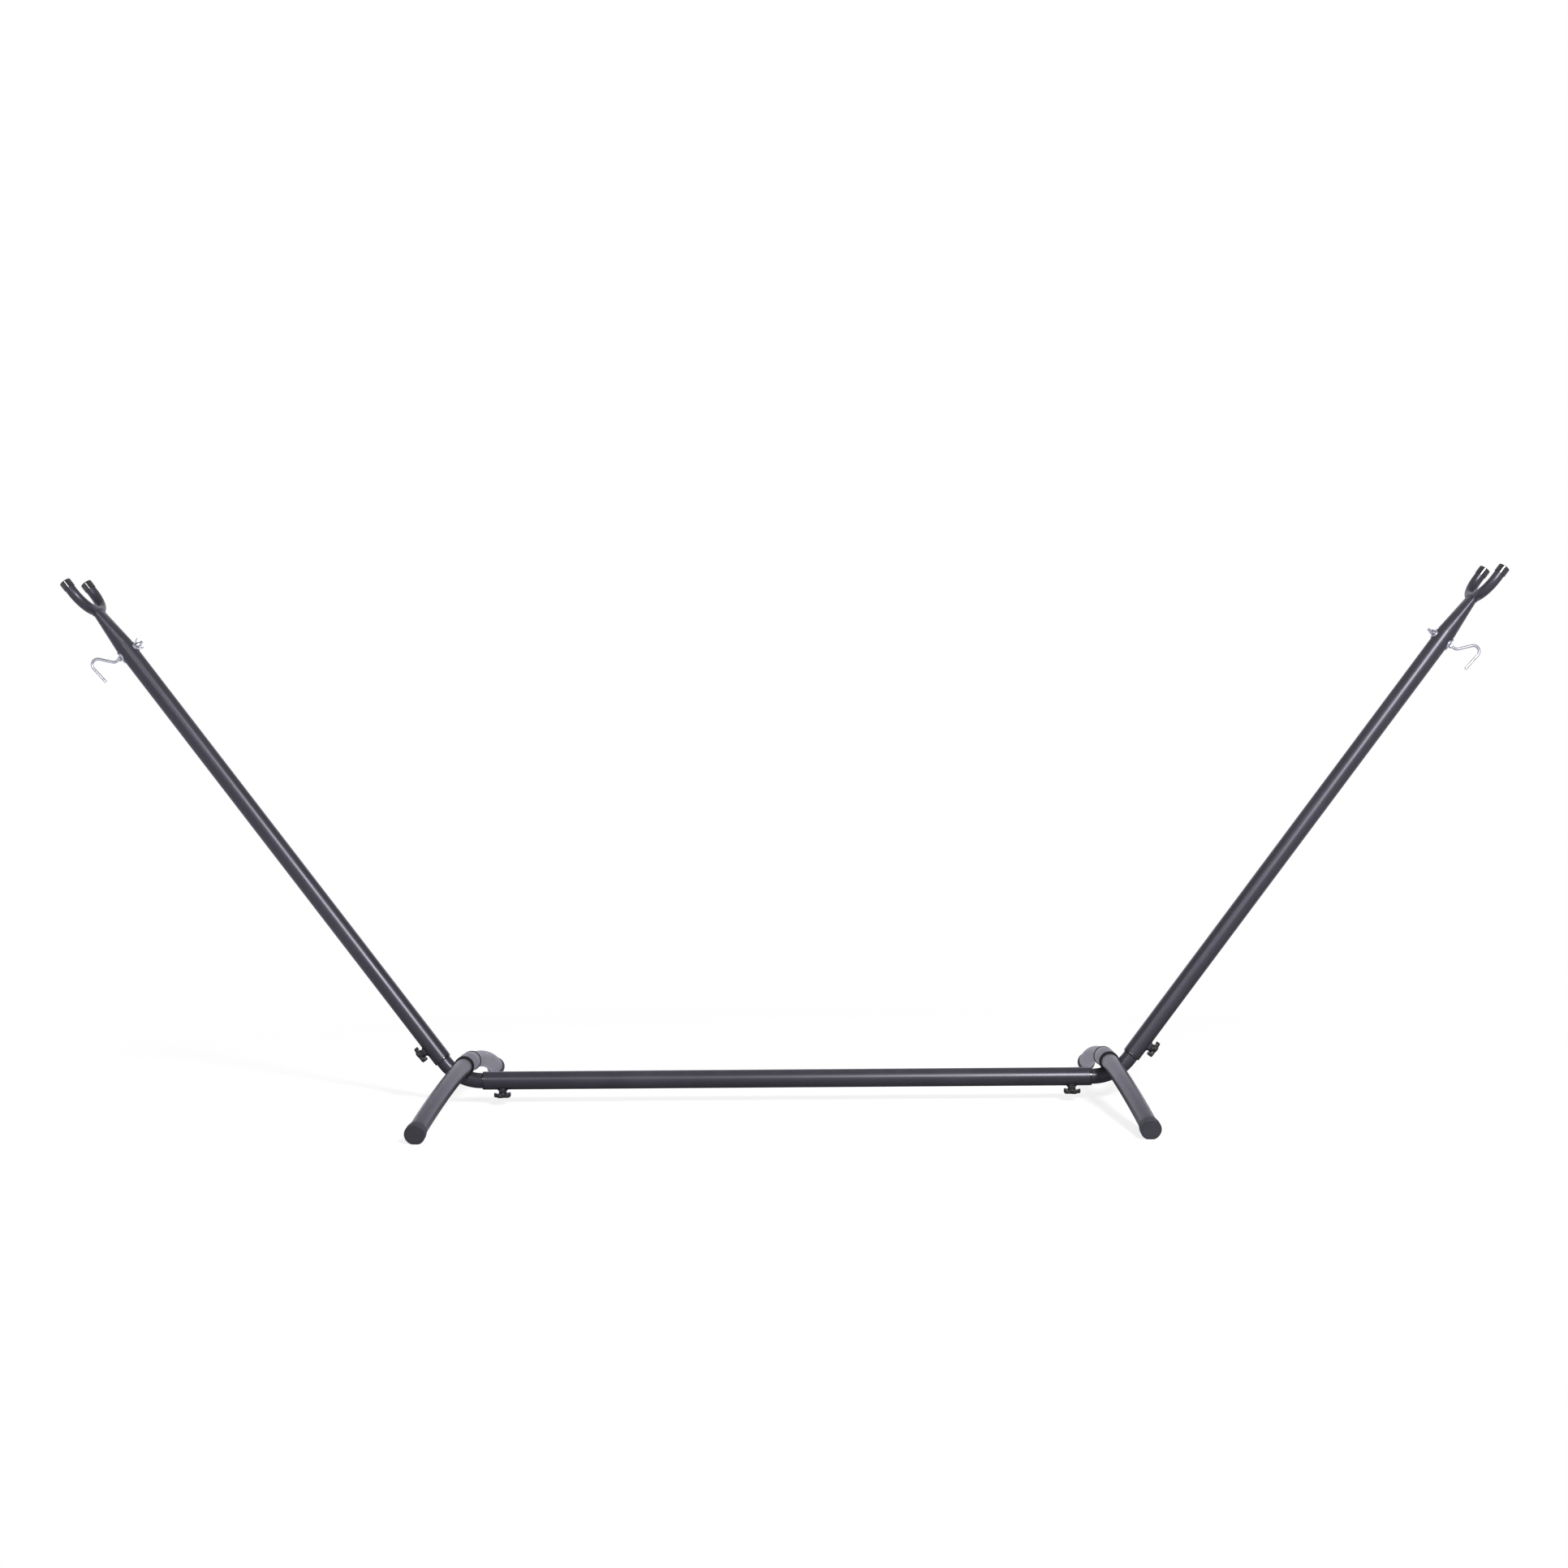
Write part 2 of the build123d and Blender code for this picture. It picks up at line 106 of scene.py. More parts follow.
# Hooks, their nuts and wing nuts
WIRE_RADIUS = 0.003
WIRE_CHAMFER = 0.0008
HOOK_PITCH = 0.001
THREAD_LENGTH = 0.066
BOLT_END = 0.017
HOOK_ROOT = 0.0135
ROOT_BEND = 0.010
ROOT_TURN = np.radians(50.0)
HOOK_RUN = 0.030
HOOK_BEND = 0.012
HOOK_TURN = np.radians(145.0)
HOOK_LEG = 0.039
HOOK_NUT_FOOT = 0.0218             # from the upright's axis
HOOK_NUT_HEIGHT = 0.005
HOOK_NUT_APOTHEM = 0.005
WING_FOOT = 0.0221
WING_HUB_RADIUS = 0.006
WING_HUB_TOP = 0.0045
WING_HUB_HEIGHT = 0.0075
WING_BORE = 0.0031
WING_START = (0.0042, 0.0030)      # a wing's root, out from the bolt and up from the hub's foot
WING_REACH = 0.0076
WING_RISE = 0.0073
WING_CURVE = 1.25                  # power of the rise

# Weld beads: half thickness, and ripples in a full turn
NUT_BEAD = (0.0014, 26)
FORK_BEAD = (0.0017, 34)
FOOT_BEAD_RIPPLES = 22
FOOT_BEAD_OFFSET = 0.0028          # out from where elbow and sleeve meet
FOOT_BEAD_EXTRA = 0.0008           # over half of the gap between them

HALVINGS = 40
SHARP_ANGLE = np.radians(35.0)     # edges sharper than this aren't smoothed

SIDES = {"left": -1.0, "right": 1.0}
UP = np.array([0.0, 0.0, 1.0])
BACK = np.array([0.0, 1.0, 0.0])
RIGHT = np.array([1.0, 0.0, 0.0])


# Directions and points of one side. Each set of three directions is right-handed on both sides.
def along(side):
    """The upright's direction, from the foot to the fork."""
    return np.array([side * np.sin(LEAN), 0.0, np.cos(LEAN)])


def outward(side):
    """The direction across the upright, away from the stand's middle and down."""
    return np.array([side * np.cos(LEAN), 0.0, -np.sin(LEAN)])


def upright_point(side, distance):
    """A point of the upright's axis, at a distance from its lower mouth."""
    crossing = np.array([side * (BAR_LENGTH / 2 + BAR_MOUTH_OFFSET), 0.0, BAR_HEIGHT])
    return crossing + along(side) * (UPRIGHT_MOUTH_OFFSET + distance)


def placed(local, origin, first, second, third):
    """Local coordinates (..., 3) carried to the stand's frame by an origin and three directions."""
    return origin + local[..., :1] * first + local[..., 1:2] * second + local[..., 2:] * third


# Meshes from grids
def surface(grid, looped=False):
    """Vertices, quads and triangles of a grid whose columns close on themselves.
    A looped grid's rows close too. Otherwise a fan round the middle of the first and last row closes it."""
    rows, columns = grid.shape[:2]
    index = np.arange(rows * columns).reshape(rows, columns)
    bands = np.vstack([index, index[:1]]) if looped else index
    here, there = bands[:-1], bands[1:]
    quads = np.stack([here, np.roll(here, -1, 1), np.roll(there, -1, 1), there], -1).reshape(-1, 4)
    points = grid.reshape(-1, 3)
    if looped:
        return points, quads, np.empty((0, 3), int)
    first, last = index[0], index[-1]
    middles = np.stack([grid[0].mean(0), grid[-1].mean(0)])
    first_fan = np.stack([np.full(columns, rows * columns), np.roll(first, -1), first], -1)
    last_fan = np.stack([np.full(columns, rows * columns + 1), last, np.roll(last, -1)], -1)
    return np.vstack([points, middles]), quads, np.vstack([first_fan, last_fan])


def make_piece(name, shells, material, body):
    """One object from closed shells, smooth but for edges sharper than an angle, riding on a body."""
    starts = np.cumsum([0] + [len(points) for points, quads, fans in shells])
    points = np.vstack([shell[0] for shell in shells])
    quads = np.vstack([shell[1] + start for shell, start in zip(shells, starts)])
    fans = np.vstack([shell[2] + start for shell, start in zip(shells, starts)])
    mesh = bpy.data.meshes.new(name)
    mesh.from_pydata(points.tolist(), [], quads.tolist() + fans.tolist())
    mesh.shade_smooth()
    mesh.set_sharp_from_angle(angle=SHARP_ANGLE)
    mesh.materials.append(material)
    piece = bpy.data.objects.new(name, mesh)
    bpy.context.scene.collection.objects.link(piece)
    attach(piece, body)
    return piece


def turns(count):
    """Angles of a full turn, evenly spaced, as one row."""
    return np.linspace(0, 2 * np.pi, count, endpoint=False)[None, :]


def smoothstep(value):
    """Rises from 0 to 1 as 3t^2 - 2t^3, with t held between 0 and 1."""
    t = np.clip(value, 0, 1)
    return t * t * (3 - 2 * t)


def hexagon(turn, apothem):
    """Distance from a hexagon's middle to its side at an angle: the apothem over the cosine of the angle from
    the nearest side's middle."""
    return apothem / np.cos(np.mod(turn, np.pi / 3) - np.pi / 6)


def thread(distance, turn, radius, pitch):
    """Radius of a right-hand screw thread: a flat-topped triangle wave of distance / pitch - turn / 2 pi."""
    phase = np.mod(distance / pitch - turn / (2 * np.pi), 1)
    wave = np.abs(2 * phase - 1)
    return radius - THREAD_DEPTH * pitch * np.clip((wave - THREAD_CREST) / THREAD_FLANK, 0, 1)


def lathe(radius, height):
    """Rows of radius and height turned about the third axis, as local coordinates."""
    turn = turns(np.shape(radius)[1])
    radius, height, turn = np.broadcast_arrays(radius, height, turn)
    return np.stack([radius * np.cos(turn), radius * np.sin(turn), height], -1)


# Shapes of the small pieces
def hook_grid():
    """A round wire carried along a flat path. The path's heading is piecewise linear in the distance along it,
    constant on straights and changing on bends, and its points are the running sum of that heading's cosine
    and sine. The wire's radius is a thread's over the bolt and ends in a chamfer."""
    shank = 2 * TUBE_RADIUS + BOLT_END + HOOK_ROOT
    lengths = [0, shank, ROOT_BEND * ROOT_TURN, HOOK_RUN, HOOK_BEND * HOOK_TURN, HOOK_LEG]
    knots = np.cumsum(lengths)
    headings = [0, 0, ROOT_TURN, ROOT_TURN, ROOT_TURN - HOOK_TURN, ROOT_TURN - HOOK_TURN]
    threaded = np.arange(0, THREAD_LENGTH, HOOK_PITCH / 8)
    distance = np.concatenate([threaded, np.linspace(THREAD_LENGTH, knots[-1], 230)])
    heading = np.interp(distance, knots, headings)
    middle = (heading[1:] + heading[:-1]) / 2
    step = np.diff(distance)
    x = np.concatenate([[0], np.cumsum(step * np.cos(middle))]) - TUBE_RADIUS - BOLT_END
    y = np.concatenate([[0], np.cumsum(step * np.sin(middle))])
    turn = turns(24)
    rows = distance[:, None]
    fade = smoothstep((THREAD_LENGTH - rows) / (3 * HOOK_PITCH))
    radius = WIRE_RADIUS + fade * (thread(rows, turn, WIRE_RADIUS, HOOK_PITCH) - WIRE_RADIUS)
    ends = WIRE_RADIUS - WIRE_CHAMFER + np.minimum(rows, knots[-1] - rows)
    radius = np.minimum(radius, ends)
    side_x, side_y = -np.sin(heading)[:, None], np.cos(heading)[:, None]
    return np.stack(
        [
            x[:, None] + radius * np.cos(turn) * side_x,
            y[:, None] + radius * np.cos(turn) * side_y,
            radius * np.sin(turn),
        ],
        -1,
    )


def stud_grid():
    """A threaded rod: the thread's radius over turn and height, chamfered at both ends."""
    height = np.arange(STUD_START, STUD_END, STUD_PITCH / 8)[:, None]
    turn = turns(28)
    ends = STUD_RADIUS - STUD_CHAMFER + np.minimum(height - STUD_START, height[-1] - height)
    return lathe(np.minimum(thread(height, turn, STUD_RADIUS, STUD_PITCH), ends), height)


def knob_grid():
    """A star knob turned about its stud. Up the profile, the radius goes over from round (bore, hub) to the
    rim's, which waves between lobe tips and roots with the cosine of five times the turn. Under the head, the
    lobes hang down towards the tube by the dish's depth; the rim and the top edge are quarter circles."""
    turn = turns(160)
    blank = np.ones_like(turn)
    lobe = (0.5 + 0.5 * np.cos(LOBES * turn)) ** 0.75
    rim = RIM_ROOT + (RIM_TIP - RIM_ROOT) * lobe
    sag = HEAD_DISH * lobe
    under = HEAD_FOOT + HEAD_DISH
    bore_chamfer, hub_chamfer = 0.0004, 0.0005
    round_part = np.array([
        (KNOB_BORE, BORE_END),
        (KNOB_BORE, HUB_FOOT + bore_chamfer),
        (KNOB_BORE + bore_chamfer, HUB_FOOT),
        (HUB_RADIUS - hub_chamfer, HUB_FOOT),
        (HUB_RADIUS, HUB_FOOT + hub_chamfer),
        (HUB_RADIUS, under - HUB_FILLET),
    ])
    flank = np.linspace(0, 1, 9)[:, None]
    arc = np.linspace(0, np.pi / 2, 7)[:, None]
    start = HUB_RADIUS + HUB_FILLET
    outer_ring = 0.95 * (rim - HEAD_TOP_EDGE)
    # the shallow round recess in the top: shares of the rim's root, and depths
    recess = np.array([(0.62, 0.0), (0.585, 0.0003), (0.56, 0.0007), (0.2, 0.0007)])
    rows = [
        (round_part[:, :1], round_part[:, 1:]),
        (HUB_RADIUS + HUB_FILLET * (1 - np.cos(arc)), under - HUB_FILLET + HUB_FILLET * np.sin(arc)),
        (start + (rim - HEAD_EDGE - start) * flank, under - sag * smoothstep(flank * 1.15)),
        (rim - HEAD_EDGE + HEAD_EDGE * np.sin(arc), under - sag + HEAD_EDGE * (1 - np.cos(arc))),
        (rim - HEAD_TOP_EDGE * (1 - np.cos(arc)), HEAD_TOP - HEAD_TOP_EDGE + HEAD_TOP_EDGE * np.sin(arc)),
        (outer_ring, np.array([[HEAD_TOP]])),
        (recess[:, :1] * RIM_ROOT, HEAD_TOP - recess[:, 1:]),
    ]
    return lathe(
        np.vstack([radius * blank for radius, height in rows]),
        np.vstack([height * blank for radius, height in rows]),
    )


def hex_nut_grid(apothem, height, bore):
    """A hex nut turned about its bolt: the hexagon's radius, cut by a 30 degree cone at both faces, then the
    bore with a chamfer at both ends."""
    turn = turns(72)
    blank = np.ones_like(turn)
    level = height * np.array([0, 0.02, 0.05, 0.09, 0.14, 0.5, 0.86, 0.91, 0.95, 0.98, 1.0])[:, None]
    cone = apothem * 0.97 + np.minimum(level, height - level) * np.tan(np.radians(60))
    outside = np.minimum(hexagon(turn, apothem), cone)
    bore_radius = np.array([1.12, 1.0, 1.0, 1.12])[:, None] * bore
    bore_height = height * np.array([1.0, 0.93, 0.07, 0.0])[:, None]
    return lathe(np.vstack([outside, bore_radius * blank]), np.vstack([level * blank, bore_height * blank]))


def bush_grid():
    """A reducing bush turned about its tube: the bore, a flange with a quarter circle at both edges, and the
    skirt inside the tube. Heights run from the tube's mouth outwards."""
    arc = np.linspace(0, np.pi / 2, 8)[:, None]
    inner, outer = 0.0012, 0.0017
    shoulder = np.hstack([TUBE_RADIUS - inner * (1 - np.sin(arc)), inner * (1 - np.cos(arc))])
    lip = np.hstack([TUBE_RADIUS - outer * (1 - np.cos(arc)), BUSH_FLANGE - outer * (1 - np.sin(arc))])
    skirt = TUBE_RADIUS - TUBE_WALL
    inside = [(BUSH_BORE, BUSH_FLANGE), (BUSH_BORE, -BUSH_SKIRT), (skirt, -BUSH_SKIRT), (skirt, 0)]
    profile = np.vstack([np.array(inside), shoulder, lip])
    blank = np.ones((1, 96))
    return lathe(profile[:, :1] * blank, profile[:, 1:] * blank)


def wall_round_grid():
    """A round of tube wall that closes a hole flush: a disc on the inner cylinder and one on the outer, joined
    at the rim. The height over the axis is the root of the cylinder's radius squared less the side distance
    squared."""
    share = np.linspace(0.2, 1, 6)[:, None]
    reach = STUD_HOLE_RADIUS * np.vstack([share, share[::-1]])
    cylinder = np.repeat([TUBE_RADIUS - TUBE_WALL, TUBE_RADIUS], len(share))[:, None]
    turn = turns(48)
    x, y = reach * np.cos(turn), reach * np.sin(turn)
    return np.stack([x, y, np.sqrt(cylinder**2 - y**2)], -1)


def wing_hub_grid():
    """The wing nut's hub turned about its bolt: a tapered outside with a rounded shoulder, then the bore."""
    profile = np.array([
        (WING_BORE + 0.0003, 0), (WING_HUB_RADIUS, 0), (WING_HUB_RADIUS + 0.0002, 0.0004),
        (WING_HUB_RADIUS + 0.0002, 0.0010), (WING_HUB_RADIUS - 0.0003, 0.0014),
        (WING_HUB_TOP + 0.0002, WING_HUB_HEIGHT - 0.0007), (WING_HUB_TOP - 0.0002, WING_HUB_HEIGHT - 0.0002),
        (WING_HUB_TOP - 0.0007, WING_HUB_HEIGHT), (WING_BORE + 0.0004, WING_HUB_HEIGHT),
        (WING_BORE, WING_HUB_HEIGHT - 0.0004), (WING_BORE, 0.0003),
    ])
    blank = np.ones((1, 48))
    return lathe(profile[:, :1] * blank, profile[:, 1:] * blank)


def wing_grid(hand):
    """One wing: a flattened oval carried from the hub along a rising curve. Its half width and half thickness
    are smooth functions of the distance t, thick at the root and closing to nothing at the tip as a power
    of t."""
    t = np.concatenate([np.linspace(0, 0.8, 14), 1 - 0.2 * np.linspace(1, 0.01, 14)[1:] ** 2])[:, None]
    turn = turns(28)
    reach = WING_START[0] + WING_REACH * t
    rise = WING_START[1] + WING_RISE * t**WING_CURVE
    slope = np.arctan2(WING_RISE * WING_CURVE * t ** (WING_CURVE - 1), WING_REACH)
    close = np.sqrt(np.clip(1 - t ** 5, 0, 1))
    width = (0.0027 + 0.0007 * np.sin(np.pi * t)) * close
    thick = (0.0012 + 0.0011 * (1 - t) ** 2) * close
    across = np.sign(np.cos(turn)) * np.abs(np.cos(turn)) ** 0.8
    through = np.sign(np.sin(turn)) * np.abs(np.sin(turn)) ** 0.8
    in_plane = width * across
    local = [reach - in_plane * np.sin(slope), -thick * through, rise + in_plane * np.cos(slope)]
    grid = np.stack(np.broadcast_arrays(*local), -1)
    return grid * np.array([hand, hand, 1.0])


def bead(path, lift, spread, size, ripples):
    """A weld bead on a closed path: a round section across two directions, whose size swells with each ripple
    of the torch and whose ripples lean forward at the section's middle."""
    rows = np.linspace(0, 2 * np.pi, len(path), endpoint=False)[:, None]
    turn = turns(14)
    swell = 1 + 0.085 * np.cos(ripples * rows + 1.3 * np.cos(turn)) + 0.04 * np.cos(3 * rows + 0.7)
    radius = (size * swell)[..., None]
    return path[:, None, :] + radius * (
        np.cos(turn)[..., None] * lift[:, None, :] + np.sin(turn)[..., None] * spread[:, None, :]
    )


def nut_bead(side_axis, tube_axis, origin):
    """The weld round a clamp nut: it follows a rounded hexagon on the tube, sunk by the tube's curve."""
    third = np.cross(side_axis, tube_axis)
    turn = turns(180).T
    reach = 0.75 * hexagon(turn, WELD_NUT_APOTHEM) + 0.25 * WELD_NUT_APOTHEM * 1.08 + 0.0006
    x, y = reach * np.cos(turn), reach * np.sin(turn)
    sink = np.sqrt(TUBE_RADIUS**2 - y**2) - TUBE_RADIUS
    path = placed(np.hstack([x, y, sink]), origin, tube_axis, third, side_axis)
    spread = placed(np.hstack([np.cos(turn), np.sin(turn), 0 * turn]), 0, tube_axis, third, side_axis)
    return bead(path, np.tile(side_axis, (len(turn), 1)), spread, *NUT_BEAD)


def fork_bead(side):
    """The weld between upright and fork: each point of the flattened tube's oval is moved along the upright
    until it lies one fork radius from the fork's bent middle line, by halving the interval forty times."""
    axis, across = along(side), outward(side)
    third = np.cross(axis, across)
    bottom = upright_point(side, UPRIGHT_LENGTH)
    fork_across = BACK * np.cos(FORK_TURN) - across * np.sin(FORK_TURN)
    fork_through = across * np.cos(FORK_TURN) + BACK * np.sin(FORK_TURN)
    turn = turns(240).T

    def oval(shift):
        """Points of the flattened tube's outside, at shifts along the upright from the fork's bottom."""
        share = -shift / PINCH_LENGTH
        thick = PINCH_HALF_THICKNESS + (TUBE_RADIUS - PINCH_HALF_THICKNESS) * share
        wide = PINCH_HALF_WIDTH + (TUBE_RADIUS - PINCH_HALF_WIDTH) * share
        return placed(np.hstack([thick * np.cos(turn), wide * np.sin(turn), shift]), 0, across, third, axis)

    low, high = np.full_like(turn, -0.02), np.zeros_like(turn)
    for _ in range(HALVINGS):
        middle = (low + high) / 2
        point = oval(middle)
        beyond = np.maximum(np.abs(point @ fork_across) - FORK_FLAT, 0)
        ring = np.hypot(beyond, FORK_BEND - point @ axis) - FORK_BEND
        outside = np.hypot(ring, point @ fork_through)[:, None] > FORK_RADIUS
        low, high = np.where(outside, middle, low), np.where(outside, high, middle)
    path = bottom + oval(low)
    spread = placed(np.hstack([np.cos(turn), np.sin(turn), 0 * turn]), 0, across, third, axis)
    return bead(path, np.tile(axis, (len(turn), 1)), spread, *FORK_BEAD)


def foot_bead(side):
    """The weld between elbow and cross sleeve. At each angle round the seat, halving the interval forty times
    finds where the elbow's inner bend and the sleeve's underside meet. The bead lies just outside that, halfway
    between the two, a little thicker than the gap between them."""
    half = (np.pi / 2 - LEAN) / 2
    elbow_axis = np.array([side * np.cos(half), 0, np.sin(half)])
    seat = np.array([-side * np.sin(half), 0, np.cos(half)])
    third = np.cross(seat, elbow_axis)
    tangent = ELBOW_BEND * np.tan(half)
    bend_x = side * (BAR_LENGTH / 2 + BAR_MOUTH_OFFSET - tangent)
    bend_centre = np.array([bend_x, 0, BAR_HEIGHT + ELBOW_BEND])
    middle = bend_centre - seat * ELBOW_BEND
    turn = turns(160).T
    seat_distance = ELBOW_RADIUS + SLEEVE_RADIUS - SEAT_DEPTH

    def faces(reach):
        """Coordinates on the seat, and the heights of the elbow's top and of the sleeve's underside there."""
        x, y = reach * np.cos(turn), reach * np.sin(turn)
        inner = ELBOW_BEND - np.sqrt(ELBOW_RADIUS**2 - y**2)
        floor = ELBOW_BEND - np.sqrt(inner**2 - x**2)
        ceiling = seat_distance - y**2 / (2 * SLEEVE_BEND) - np.sqrt(SLEEVE_RADIUS**2 - x**2)
        return x, y, floor, ceiling

    low, high = np.zeros_like(turn), np.full_like(turn, 0.0155)
    for _ in range(HALVINGS):
        reach = (low + high) / 2
        x, y, floor, ceiling = faces(reach)
        apart = ceiling > floor
        low, high = np.where(apart, low, reach), np.where(apart, reach, high)
    x, y, floor, ceiling = faces(low + FOOT_BEAD_OFFSET)
    path = placed(np.hstack([x, y, (floor + ceiling) / 2]), middle, elbow_axis, third, seat)
    spread = placed(np.hstack([np.cos(turn), np.sin(turn), 0 * turn]), 0, elbow_axis, third, seat)
    size = (ceiling - floor) / 2 + FOOT_BEAD_EXTRA
    return bead(path, np.tile(seat, (len(turn), 1)), spread, size, FOOT_BEAD_RIPPLES)


# Shader node groups
def new_group(name, inputs, outputs):
    """A shader node group with named sockets; returns it with its input and output nodes."""
    group = bpy.data.node_groups.new(name, "ShaderNodeTree")
    for label, kind, default in inputs:
        socket = group.interface.new_socket(label, in_out="INPUT", socket_type=kind)
        if default is not None:
            socket.default_value = default
    for label, kind in outputs:
        group.interface.new_socket(label, in_out="OUTPUT", socket_type=kind)
    return group, group.nodes.new("NodeGroupInput"), group.nodes.new("NodeGroupOutput")


def add_node(tree, kind, links=(), **values):
    """A node with some inputs set by value and others linked, keyed by socket name or number."""
    node = tree.nodes.new(kind)
    for key, value in values.items():
        setattr(node, key, value)
    for socket, source in links:
        if hasattr(source, "is_output"):
            tree.links.new(source, node.inputs[socket])
        else:
            node.inputs[socket].default_value = source
    return node


def fill_ramp(ramp, stops):
    """Sets a colour ramp's stops to greys at places from 0 to 1."""
    while len(ramp.elements) < len(stops):
        ramp.elements.new(0.5)
    for element, (place, grey) in zip(ramp.elements, stops):
        element.position = place
    for element, (place, grey) in zip(ramp.elements, stops):
        element.color = (grey, grey, grey, 1)


def mottle_group():
    """Slow patches and fine grain of a sprayed or moulded surface, both from 0 to 1."""
    group, source, sink = new_group(
        "surface_mottle",
        [
            ("Vector", "NodeSocketVector", None),
            ("Patch Scale", "NodeSocketFloat", 14.0),
            ("Grain Scale", "NodeSocketFloat", 900.0),
        ],
        [("Patches", "NodeSocketFloat"), ("Grain", "NodeSocketFloat")],
    )
    for label, scale, detail in (("Patches", "Patch Scale", 4.0), ("Grain", "Grain Scale", 2.0)):
        noise = add_node(
            group, "ShaderNodeTexNoise",
            [("Vector", source.outputs["Vector"]), ("Scale", source.outputs[scale]), ("Detail", detail)],
        )
        spread = add_node(
            group, "ShaderNodeMapRange",
            [("Value", noise.outputs["Fac"]), ("From Min", 0.3), ("From Max", 0.7)],
        )
        group.links.new(spread.outputs["Result"], sink.inputs[label])
    return group


def dust_group():
    """How much fine dust lies on a surface: more where it faces up, broken by noise."""
    group, source, sink = new_group(
        "settled_dust",
        [("Vector", "NodeSocketVector", None), ("Amount", "NodeSocketFloat", 0.3)],
        [("Mask", "NodeSocketFloat")],
    )
    facing = add_node(
        group, "ShaderNodeSeparateXYZ",
        [("Vector", add_node(group, "ShaderNodeNewGeometry").outputs["Normal"])],
    )
    upward = add_node(
        group, "ShaderNodeMapRange",
        [("Value", facing.outputs["Z"]), ("From Min", 0.25), ("From Max", 0.95)],
        interpolation_type="SMOOTHSTEP",
    )
    noise = add_node(
        group, "ShaderNodeTexNoise",
        [("Vector", source.outputs["Vector"]), ("Scale", 60.0), ("Detail", 6.0), ("Roughness", 0.65)],
    )
    broken = add_node(
        group, "ShaderNodeMapRange",
        [("Value", noise.outputs["Fac"]), ("From Min", 0.35), ("From Max", 0.75)],
    )
    lying = add_node(
        group, "ShaderNodeMath",
        [(0, upward.outputs["Result"]), (1, broken.outputs["Result"])], operation="MULTIPLY",
    )
    mask = add_node(
        group, "ShaderNodeMath",
        [(0, lying.outputs["Value"]), (1, source.outputs["Amount"])], operation="MULTIPLY",
    )
    group.links.new(mask.outputs["Value"], sink.inputs["Mask"])
    return group


mottle = mottle_group()
dust = dust_group()


# Finishes
def finish(name, dark, light, roughness, grain, bump, dust_amount=0.0, dust_color=None, **constants):
    """A finish whose colour and roughness drift with the mottle and whose grain is raised by a bump.
    Constants go to the shader's own sockets, with _ for the spaces in their names."""
    material = bpy.data.materials.new(name)
    material.use_nodes = True
    tree = material.node_tree
    shader = tree.nodes["Principled BSDF"]
    for label, value in constants.items():
        shader.inputs[label.replace("_", " ")].default_value = value
    place = add_node(tree, "ShaderNodeTexCoord").outputs["Object"]
    patch_scale, grain_scale = grain
    pattern = add_node(
        tree, "ShaderNodeGroup",
        [("Vector", place), ("Patch Scale", patch_scale), ("Grain Scale", grain_scale)],
        node_tree=mottle,
    )
    # the colours of a Mix node are its inputs 6 and 7 and its output 2
    color = add_node(
        tree, "ShaderNodeMix",
        [("Factor", pattern.outputs["Patches"]), (6, (*dark, 1)), (7, (*light, 1))],
        data_type="RGBA",
    )
    result = color.outputs[2]
    if dust_amount:
        lying = add_node(
            tree, "ShaderNodeGroup", [("Vector", place), ("Amount", dust_amount)], node_tree=dust
        )
        dusty = add_node(
            tree, "ShaderNodeMix",
            [("Factor", lying.outputs["Mask"]), (6, result), (7, (*dust_color, 1))],
            data_type="RGBA",
        )
        result = dusty.outputs[2]
    tree.links.new(result, shader.inputs["Base Color"])
    gloss = add_node(
        tree, "ShaderNodeMapRange",
        [("Value", pattern.outputs["Patches"]), ("To Min", roughness[0]), ("To Max", roughness[1])],
    )
    tree.links.new(gloss.outputs["Result"], shader.inputs["Roughness"])
    raised = add_node(
        tree, "ShaderNodeBump",
        [("Height", pattern.outputs["Grain"]), ("Strength", bump[0]), ("Distance", bump[1])],
    )
    tree.links.new(raised.outputs["Normal"], shader.inputs["Normal"])
    return material


COAT_TINT = (0.88, 0.86, 1.0, 1.0)
powder_coat = finish(
    "black_powder_coat", (0.0200, 0.0192, 0.0245), (0.0255, 0.0245, 0.0310), (0.33, 0.38),
    grain=(9.0, 820.0), bump=(0.02, 0.0003), dust_amount=0.06, dust_color=(0.22, 0.212, 0.245),
    Specular_Tint=COAT_TINT,
)
cap_plastic = finish(
    "moulded_black_cap", (0.027, 0.027, 0.033), (0.033, 0.033, 0.040), (0.46, 0.54),
    grain=(26.0, 2600.0), bump=(0.12, 0.0002), dust_amount=0.03, dust_color=(0.2, 0.195, 0.215),
    Specular_Tint=COAT_TINT, Specular_IOR_Level=0.15,
)
# Collar: black plastic, its colour darkened further as painted shade of the gap between leg and sleeve, so the
# dark ring reads wider
collar_plastic_with_gap_shade = finish(
    "dull_black_collar_with_painted_gap_shade", (0.005, 0.005, 0.006), (0.008, 0.008, 0.009), (0.55, 0.62),
    grain=(30.0, 2600.0), bump=(0.08, 0.0002), Specular_IOR_Level=0.2,
)
gloss_plastic = finish(
    "glossy_black_bush", (0.009, 0.009, 0.011), (0.013, 0.013, 0.016), (0.13, 0.17),
    grain=(12.0, 1500.0), bump=(0.008, 0.0002), Specular_IOR_Level=0.85,
)
knob_plastic = finish(
    "moulded_black_knob", (0.010, 0.010, 0.011), (0.015, 0.015, 0.017), (0.36, 0.46),
    grain=(60.0, 3200.0), bump=(0.15, 0.00015),
)
zinc = finish(
    "bright_zinc_plate", (0.50, 0.52, 0.55), (0.58, 0.60, 0.63), (0.28, 0.34),
    grain=(30.0, 2400.0), bump=(0.02, 0.0001), Metallic=1.0,
)

